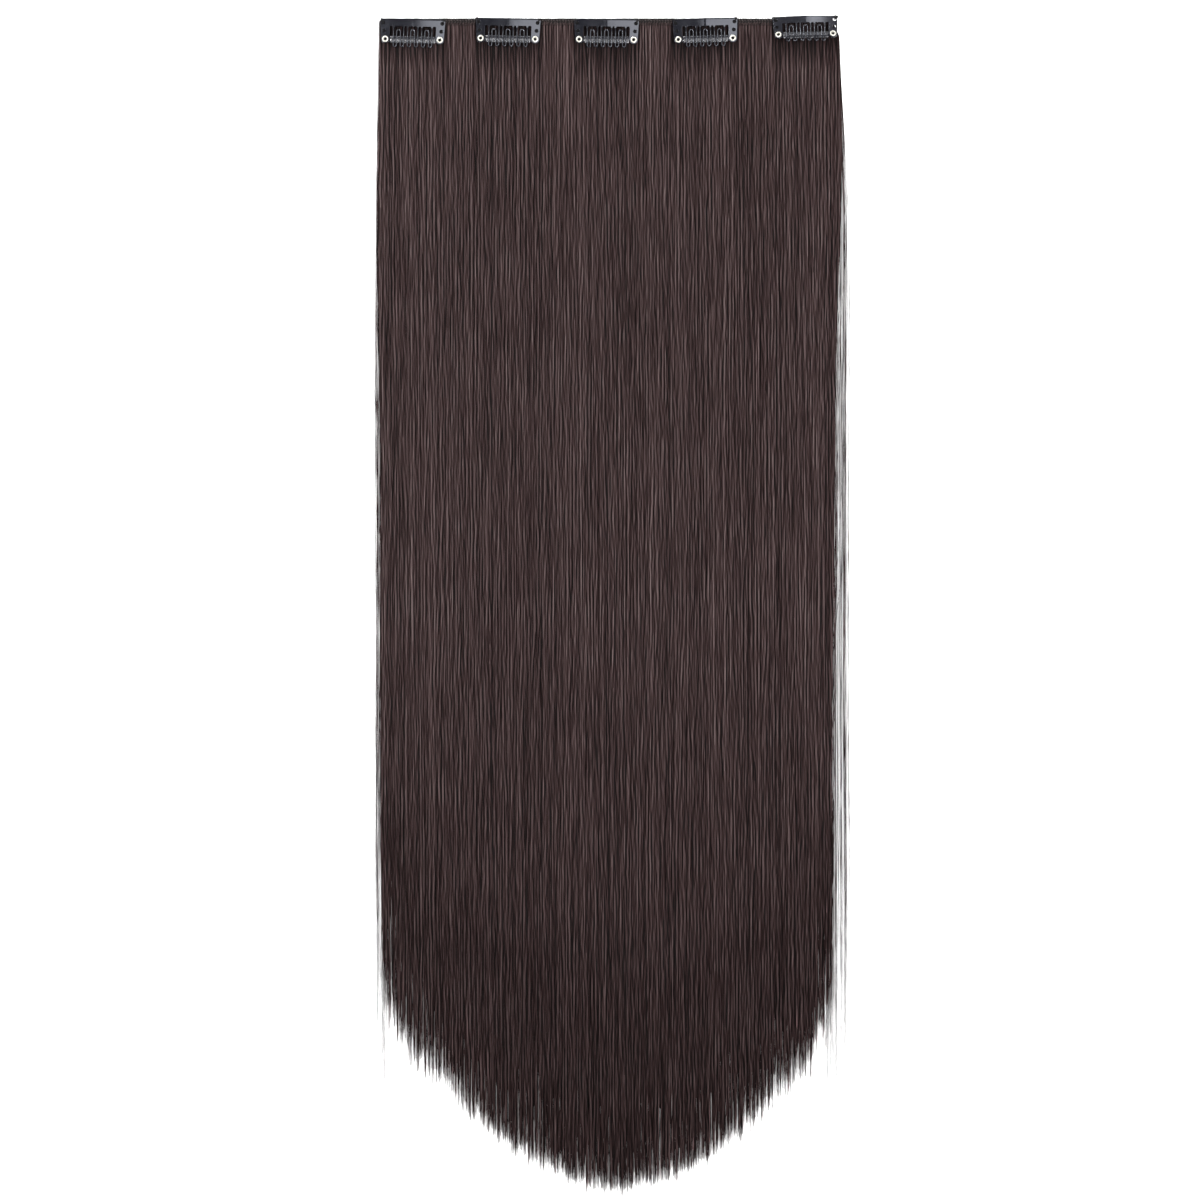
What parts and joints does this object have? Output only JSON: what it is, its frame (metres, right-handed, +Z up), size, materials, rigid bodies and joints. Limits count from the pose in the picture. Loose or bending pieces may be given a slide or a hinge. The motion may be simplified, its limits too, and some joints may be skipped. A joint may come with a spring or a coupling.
{
  "type": "clip in hair extension",
  "caption": "Long straight dark hair extension: hair sewn into a narrow band with a row of snap clips, its tips cut to a rounded V.",
  "frame": {"origin": "on the surface that it lies on, under the middle of its outline", "axes": "+Y from the tips towards the sewn band, +X along the band to the right as seen from above, +Z up, clips on top"},
  "size_m": [0.2338, 0.5874, 0.0101],
  "materials": {
    "hair": "straight, soft, dark brown, satin sheen",
    "thread": "machine sewn, matte, dark brown",
    "black_paint": "gloss black",
    "nickel": "polished",
    "grip": "smooth, glossy, dark grey"
  },
  "bodies": {
    "root": {"hair": "hair", "weft_band": "thread", "clip_1_plate": "black_paint", "clip_1_bar": "black_paint", "clip_1_grip_sleeve": "grip", "clip_1_rivet_left": "nickel", "clip_1_rivet_right": "nickel", "clip_2_plate": "black_paint", "clip_2_bar": "black_paint", "clip_2_grip_sleeve": "grip", "clip_2_rivet_left": "nickel", "clip_2_rivet_right": "nickel", "clip_3_plate": "black_paint", "clip_3_bar": "black_paint", "clip_3_grip_sleeve": "grip", "clip_3_rivet_left": "nickel", "clip_3_rivet_right": "nickel", "clip_4_plate": "black_paint", "clip_4_bar": "black_paint", "clip_4_grip_sleeve": "grip", "clip_4_rivet_left": "nickel", "clip_4_rivet_right": "nickel", "clip_5_plate": "black_paint", "clip_5_bar": "black_paint", "clip_5_grip_sleeve": "grip", "clip_5_rivet_left": "nickel", "clip_5_rivet_right": "nickel"},
    "clip_1_teeth": {"clip_1_teeth_left": "black_paint", "clip_1_teeth_middle": "black_paint", "clip_1_teeth_right": "black_paint"},
    "clip_2_teeth": {"clip_2_teeth_left": "black_paint", "clip_2_teeth_middle": "black_paint", "clip_2_teeth_right": "black_paint"},
    "clip_3_teeth": {"clip_3_teeth_left": "black_paint", "clip_3_teeth_middle": "black_paint", "clip_3_teeth_right": "black_paint"},
    "clip_4_teeth": {"clip_4_teeth_left": "black_paint", "clip_4_teeth_middle": "black_paint", "clip_4_teeth_right": "black_paint"},
    "clip_5_teeth": {"clip_5_teeth_left": "black_paint", "clip_5_teeth_middle": "black_paint", "clip_5_teeth_right": "black_paint"}
  },
  "joints": [
    {"name": "clip_1_snap", "type": "hinge", "parent": "root", "child": "clip_1_teeth", "pos_m": [-0.09851, 0.28734, 0.00444], "axis": [-0.9997, 0.0227, 0], "range_deg": [0, 35]},
    {"name": "clip_2_snap", "type": "hinge", "parent": "root", "child": "clip_2_teeth", "pos_m": [-0.0509, 0.28774, 0.00444], "axis": [-0.9998, 0.0209, 0], "range_deg": [0, 35]},
    {"name": "clip_3_snap", "type": "hinge", "parent": "root", "child": "clip_3_teeth", "pos_m": [-0.00175, 0.28734, 0.00444], "axis": [-0.9999, 0.0105, 0], "range_deg": [0, 35]},
    {"name": "clip_4_snap", "type": "hinge", "parent": "root", "child": "clip_4_teeth", "pos_m": [0.04753, 0.28774, 0.00444], "axis": [-0.9996, -0.0297, 0], "range_deg": [0, 35]},
    {"name": "clip_5_snap", "type": "hinge", "parent": "root", "child": "clip_5_teeth", "pos_m": [0.09748, 0.28942, 0.00601], "axis": [-0.9997, -0.0227, 0], "range_deg": [0, 35]}
  ]
}
